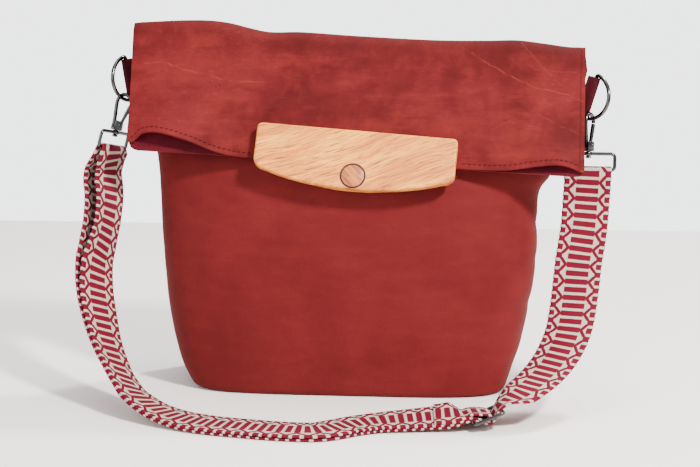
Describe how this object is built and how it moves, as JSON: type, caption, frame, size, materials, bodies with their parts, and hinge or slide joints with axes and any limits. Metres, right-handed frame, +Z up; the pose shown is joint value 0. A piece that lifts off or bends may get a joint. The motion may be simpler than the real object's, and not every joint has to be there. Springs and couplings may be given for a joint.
{
  "type": "leather bag",
  "caption": "Soft fold-over leather bag with a rounded wooden closure plate, side D rings, snap hooks and a woven shoulder strap lying in front.",
  "frame": {"origin": "middle of the base, on the surface that the bag stands on", "axes": "+Z up, +X to the right as the flap is seen, so the flap and its plate face -Y"},
  "size_m": [0.4597, 0.2623, 0.3172],
  "materials": {
    "leather": "soft matt, brick red",
    "tab_leather": "soft matt, dark red",
    "oak": "oiled, satin",
    "plug": "oiled, satin",
    "gunmetal": "polished black nickel",
    "webbing": "woven, matt"
  },
  "bodies": {
    "bag": {"front_panel": "leather", "back_panel": "leather", "closure_plate": "oak", "closure_plug": "plug", "tab_left": "tab_leather", "d_ring_left": "gunmetal", "hook_left": "gunmetal", "loop_left": "gunmetal", "tab_right": "tab_leather", "d_ring_right": "gunmetal", "hook_right": "gunmetal", "loop_right": "gunmetal", "slider": "gunmetal", "strap": "webbing"},
    "lever_left": {"gate_left": "gunmetal"},
    "lever_right": {"gate_right": "gunmetal"}
  },
  "joints": [
    {"name": "lever_left_hinge", "type": "hinge", "parent": "bag", "child": "lever_left", "pos_m": [-0.19864, -0.01652, 0.22684], "axis": [0, -0.9895, 0.1443], "range_deg": [0, 24], "stiffness_Nm_per_rad": 0.004},
    {"name": "lever_right_hinge", "type": "hinge", "parent": "bag", "child": "lever_right", "pos_m": [0.20699, -0.01018, 0.21345], "axis": [0.8368, -0.5435, 0.0659], "range_deg": [0, 24], "stiffness_Nm_per_rad": 0.004}
  ]
}
